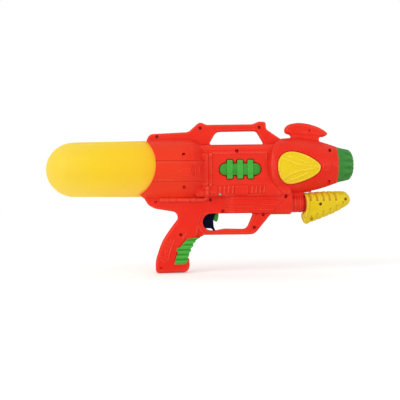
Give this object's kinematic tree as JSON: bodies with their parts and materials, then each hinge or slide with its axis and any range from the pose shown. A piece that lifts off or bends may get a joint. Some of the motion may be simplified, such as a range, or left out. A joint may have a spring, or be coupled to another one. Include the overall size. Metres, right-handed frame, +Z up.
{
  "type": "toy water squirter",
  "caption": "Hand-pumped toy water squirter with a screw-in rear tank, pistol grip, trigger, carry handle, fin on the nose and a sliding pump handle under the barrel.",
  "frame": {"origin": "centre of the bounding box in X and Y, at the flat base of the grip", "axes": "+X from the tank to the muzzle, +Z up from the grip to the carry handle, Y = 0 is the parting plane; the side with the screws faces -Y"},
  "size_m": [0.5, 0.0968, 0.2451],
  "materials": {
    "red": "moulded red plastic, satin gloss",
    "tank": "blown translucent amber-yellow plastic",
    "yellow": "moulded yellow plastic, satin gloss",
    "green": "moulded green plastic, satin gloss",
    "deep_green": "moulded deep green plastic, satin gloss",
    "navy": "moulded navy-black plastic, satin gloss",
    "white": "natural moulded plastic",
    "hose": "soft clear hose",
    "rubber": "black rubber",
    "steel": "plated steel"
  },
  "bodies": {
    "housing": {"housing_right": "red", "housing_left": "red", "housing_screw_01": "steel", "housing_screw_02": "steel", "housing_screw_03": "steel", "housing_screw_04": "steel", "housing_screw_05": "steel", "housing_screw_06": "steel", "housing_screw_07": "steel", "housing_screw_08": "steel", "housing_screw_09": "steel", "housing_screw_10": "steel", "housing_screw_11": "steel", "housing_screw_12": "steel", "housing_screw_13": "steel", "housing_screw_14": "steel", "housing_screw_15": "steel", "housing_screw_16": "steel", "housing_screw_17": "steel", "tank_collar": "white", "water_hose": "hose", "air_hose": "hose", "nozzle_hose": "hose", "pump_barrel": "white", "pump_sleeve": "red", "rod_guide": "white", "check_valve": "white", "valve_body": "white", "valve_spring": "steel", "trigger_pin": "steel", "trigger_spring": "steel", "nozzle_tube": "white", "nozzle_seal": "rubber", "side_insert_right": "green", "side_insert_left": "green", "nose_inlay_right": "yellow", "nose_inlay_left": "yellow", "grip_insert": "green"},
    "tank_seal": {"tank_seal": "rubber"},
    "tank": {"tank": "tank"},
    "pump": {"pump_piston": "white", "piston_seal": "rubber", "pump_rod": "white", "pump_handle_right": "yellow", "pump_handle_left": "yellow", "pump_screw_1": "steel", "pump_screw_2": "steel", "pump_screw_3": "steel"},
    "trigger": {"trigger": "navy", "valve_lever": "green"},
    "valve_stem": {"valve_stem": "white", "valve_seal": "rubber"},
    "nozzle": {"nozzle_cap": "deep_green"}
  },
  "joints": [
    {"name": "trigger_pull", "type": "hinge", "parent": "housing", "child": "trigger", "pos_m": [0.0327, 0, 0.1266], "axis": [0, 1, 0], "range_deg": [0, 14], "stiffness_Nm_per_rad": 0.4, "springref_deg": -11.46},
    {"name": "valve_push", "type": "slide", "parent": "housing", "child": "valve_stem", "axis": [1, 0, 0], "range_m": [0, 0.0036], "deforming": ["valve_spring"]},
    {"name": "pump_slide", "type": "slide", "parent": "housing", "child": "pump", "axis": [1, 0, 0], "range_m": [0, 0.065]},
    {"name": "tank_back_out", "type": "slide", "parent": "housing", "child": "tank_seal", "axis": [-1, 0, 0], "range_m": [0, 0.0091]},
    {"name": "tank_turn", "type": "hinge", "parent": "tank_seal", "child": "tank", "pos_m": [-0.012, 0, 0.1695], "axis": [-1, 0, 0], "range_deg": [0, 540]},
    {"name": "nozzle_turn", "type": "hinge", "parent": "housing", "child": "nozzle", "pos_m": [0.2225, 0, 0.1727], "axis": [1, 0, 0], "range_deg": [0, 90]}
  ],
  "couplings": [
    {"joint": "valve_push", "follows": "trigger_pull", "m_per_rad": 0.0144},
    {"joint": "tank_back_out", "follows": "tank_turn", "m_per_rad": 0.00095493}
  ]
}
